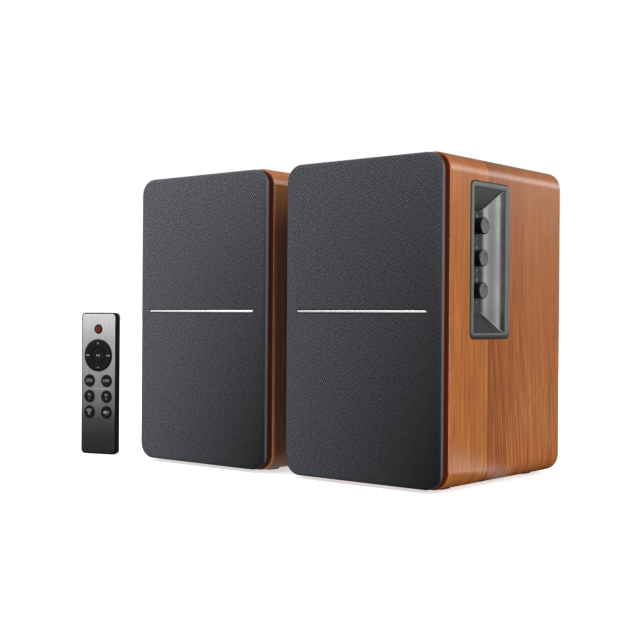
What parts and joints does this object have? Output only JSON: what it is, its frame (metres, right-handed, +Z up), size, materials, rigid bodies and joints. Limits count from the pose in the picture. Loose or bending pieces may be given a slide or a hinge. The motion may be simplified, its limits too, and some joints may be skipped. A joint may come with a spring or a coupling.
{
  "type": "desktop speakers",
  "caption": "Active and passive wood-wrapped desktop loudspeakers with pull-off cloth grilles, a side control pocket with turning knobs, rear sockets and a slim upright handset.",
  "frame": {"origin": "middle of the whole set's footprint, on the table top", "axes": "+X across the fronts towards the side with the knobs, -Y the way the grilles face, +Z up"},
  "size_m": [0.3758, 0.177, 0.234],
  "materials": {
    "wood_veneer": "satin wood-look wrap",
    "baffle_black": "matt black board",
    "grille_cloth": "dark charcoal woven cloth",
    "black_plastic": "matt black moulding",
    "gloss_black": "gloss black moulding",
    "pod_grey": "satin grey moulding",
    "trim_silver": "bright silver",
    "panel_black": "matt black sheet metal",
    "magnet": "dark ferrite and steel",
    "basket": "black pressed steel",
    "rubber": "black rubber",
    "cone_paper": "dark coated paper",
    "dome_silk": "dark coated silk",
    "circuit_board": "green circuit board",
    "transformer": "laminated steel and copper",
    "socket_body": "black moulding with plated shells",
    "lever_red": "red moulding",
    "lever_black": "black moulding",
    "ir_lens": "dark red lens",
    "remote_silver": "brushed silver fading to dark",
    "remote_black": "gloss black case",
    "remote_key": "black key",
    "remote_power": "black key with dark red middle"
  },
  "bodies": {
    "right_speaker": {"right_cabinet": "wood_veneer", "right_baffle": "baffle_black", "right_rear_board": "baffle_black", "right_woofer_basket": "basket", "right_woofer_magnet": "magnet", "right_woofer_surround": "rubber", "right_tweeter_body": "black_plastic", "right_port_tube": "black_plastic", "right_front_foot": "rubber", "right_rear_foot": "rubber", "right_terminal_block": "black_plastic", "control_pod": "pod_grey", "control_board": "circuit_board", "ir_receiver": "ir_lens", "amp_panel": "panel_black", "amp_board": "circuit_board", "mains_transformer": "transformer", "mains_inlet": "socket_body", "rca_sockets": "socket_body"},
    "left_speaker": {"left_cabinet": "wood_veneer", "left_baffle": "baffle_black", "left_rear_board": "baffle_black", "left_woofer_basket": "basket", "left_woofer_magnet": "magnet", "left_woofer_surround": "rubber", "left_tweeter_body": "black_plastic", "left_port_tube": "black_plastic", "left_front_foot": "rubber", "left_rear_foot": "rubber", "left_terminal_block": "black_plastic"},
    "remote": {"remote_case": "remote_black", "remote_face": "remote_silver", "remote_board": "circuit_board"},
    "right_grille": {"right_grille_frame": "black_plastic", "right_grille_cloth": "grille_cloth", "right_trim_bar": "trim_silver"},
    "right_woofer_cone": {"right_woofer_cone": "cone_paper"},
    "right_tweeter_dome": {"right_tweeter_dome": "dome_silk"},
    "right_terminal_lever_red": {"right_terminal_lever_red": "lever_red"},
    "right_terminal_lever_black": {"right_terminal_lever_black": "lever_black"},
    "left_grille": {"left_grille_frame": "black_plastic", "left_grille_cloth": "grille_cloth", "left_trim_bar": "trim_silver"},
    "left_woofer_cone": {"left_woofer_cone": "cone_paper"},
    "left_tweeter_dome": {"left_tweeter_dome": "dome_silk"},
    "left_terminal_lever_red": {"left_terminal_lever_red": "lever_red"},
    "left_terminal_lever_black": {"left_terminal_lever_black": "lever_black"},
    "bass_knob": {"bass_knob": "gloss_black"},
    "treble_knob": {"treble_knob": "gloss_black"},
    "volume_knob": {"volume_knob": "gloss_black"},
    "mains_rocker": {"mains_rocker": "gloss_black"},
    "remote_power_button": {"remote_power_button": "remote_power"},
    "remote_centre_button": {"remote_centre_button": "remote_key"},
    "remote_on_button": {"remote_on_button": "remote_key"},
    "remote_off_button": {"remote_off_button": "remote_key"},
    "remote_input_one_button": {"remote_input_one_button": "remote_key"},
    "remote_input_two_button": {"remote_input_two_button": "remote_key"},
    "remote_wireless_button": {"remote_wireless_button": "remote_key"},
    "remote_mute_button": {"remote_mute_button": "remote_key"},
    "remote_ring_button": {"remote_ring_button": "remote_key"}
  },
  "joints": [
    {"name": "left_speaker_lift", "type": "slide", "parent": "right_speaker", "child": "left_speaker", "axis": [0, 0, 1], "range_m": [0, 0.12]},
    {"name": "remote_lift", "type": "slide", "parent": "right_speaker", "child": "remote", "axis": [0, 0, 1], "range_m": [0, 0.12]},
    {"name": "right_grille_pull", "type": "slide", "parent": "right_speaker", "child": "right_grille", "axis": [0, -1, 0], "range_m": [0, 0.1]},
    {"name": "right_cone_stroke", "type": "slide", "parent": "right_speaker", "child": "right_woofer_cone", "axis": [0, -1, 0], "range_m": [-0.0025, 0.0025], "stiffness_N_per_m": 1200, "deforming": ["right_woofer_surround"]},
    {"name": "right_dome_stroke", "type": "slide", "parent": "right_speaker", "child": "right_tweeter_dome", "axis": [0, -1, 0], "range_m": [-0.0003, 0.0003], "stiffness_N_per_m": 3000},
    {"name": "right_terminal_press_red", "type": "hinge", "parent": "right_speaker", "child": "right_terminal_lever_red", "pos_m": [0.13033, 0.07694, 0.145], "axis": [-1, 0, 0], "range_deg": [0, 15], "stiffness_Nm_per_rad": 0.3},
    {"name": "right_terminal_press_black", "type": "hinge", "parent": "right_speaker", "child": "right_terminal_lever_black", "pos_m": [0.14713, 0.07694, 0.145], "axis": [-1, 0, 0], "range_deg": [0, 15], "stiffness_Nm_per_rad": 0.3},
    {"name": "left_grille_pull", "type": "slide", "parent": "left_speaker", "child": "left_grille", "axis": [0, -1, 0], "range_m": [0, 0.1]},
    {"name": "left_cone_stroke", "type": "slide", "parent": "left_speaker", "child": "left_woofer_cone", "axis": [0, -1, 0], "range_m": [-0.0025, 0.0025], "stiffness_N_per_m": 1200, "deforming": ["left_woofer_surround"]},
    {"name": "left_dome_stroke", "type": "slide", "parent": "left_speaker", "child": "left_tweeter_dome", "axis": [0, -1, 0], "range_m": [-0.0003, 0.0003], "stiffness_N_per_m": 3000},
    {"name": "left_terminal_press_red", "type": "hinge", "parent": "left_speaker", "child": "left_terminal_lever_red", "pos_m": [-0.05217, 0.07694, 0.091], "axis": [-1, 0, 0], "range_deg": [0, 15], "stiffness_Nm_per_rad": 0.3},
    {"name": "left_terminal_press_black", "type": "hinge", "parent": "left_speaker", "child": "left_terminal_lever_black", "pos_m": [-0.03537, 0.07694, 0.091], "axis": [-1, 0, 0], "range_deg": [0, 15], "stiffness_Nm_per_rad": 0.3},
    {"name": "bass_turn", "type": "hinge", "parent": "right_speaker", "child": "bass_knob", "pos_m": [0.17923, -0.02916, 0.1855], "axis": [1, 0, 0], "range_deg": [-140, 140]},
    {"name": "treble_turn", "type": "hinge", "parent": "right_speaker", "child": "treble_knob", "pos_m": [0.17923, -0.02916, 0.1626], "axis": [1, 0, 0], "range_deg": [-140, 140]},
    {"name": "volume_turn", "type": "hinge", "parent": "right_speaker", "child": "volume_knob", "pos_m": [0.17923, -0.02916, 0.1396], "axis": [1, 0, 0], "range_deg": [-140, 140]},
    {"name": "mains_rocker_tip", "type": "hinge", "parent": "right_speaker", "child": "mains_rocker", "pos_m": [0.14073, 0.07714, 0.056], "axis": [1, 0, 0], "range_deg": [0, 16]},
    {"name": "remote_power_press", "type": "slide", "parent": "remote", "child": "remote_power_button", "axis": [-0.2924, 0.9563, 0], "range_m": [0, 0.0005], "stiffness_N_per_m": 1500},
    {"name": "remote_centre_press", "type": "slide", "parent": "remote", "child": "remote_centre_button", "axis": [-0.2924, 0.9563, 0], "range_m": [0, 0.0005], "stiffness_N_per_m": 1500},
    {"name": "remote_on_press", "type": "slide", "parent": "remote", "child": "remote_on_button", "axis": [-0.2924, 0.9563, 0], "range_m": [0, 0.0005], "stiffness_N_per_m": 1500},
    {"name": "remote_off_press", "type": "slide", "parent": "remote", "child": "remote_off_button", "axis": [-0.2924, 0.9563, 0], "range_m": [0, 0.0005], "stiffness_N_per_m": 1500},
    {"name": "remote_input_one_press", "type": "slide", "parent": "remote", "child": "remote_input_one_button", "axis": [-0.2924, 0.9563, 0], "range_m": [0, 0.0005], "stiffness_N_per_m": 1500},
    {"name": "remote_input_two_press", "type": "slide", "parent": "remote", "child": "remote_input_two_button", "axis": [-0.2924, 0.9563, 0], "range_m": [0, 0.0005], "stiffness_N_per_m": 1500},
    {"name": "remote_wireless_press", "type": "slide", "parent": "remote", "child": "remote_wireless_button", "axis": [-0.2924, 0.9563, 0], "range_m": [0, 0.0005], "stiffness_N_per_m": 1500},
    {"name": "remote_mute_press", "type": "slide", "parent": "remote", "child": "remote_mute_button", "axis": [-0.2924, 0.9563, 0], "range_m": [0, 0.0005], "stiffness_N_per_m": 1500},
    {"name": "remote_ring_tilt", "type": "hinge", "parent": "remote", "child": "remote_ring_button", "pos_m": [-0.16986, -0.08195, 0.0855], "axis": [0.9563, 0.2924, 0], "range_deg": [-3, 3], "stiffness_Nm_per_rad": 0.1}
  ]
}
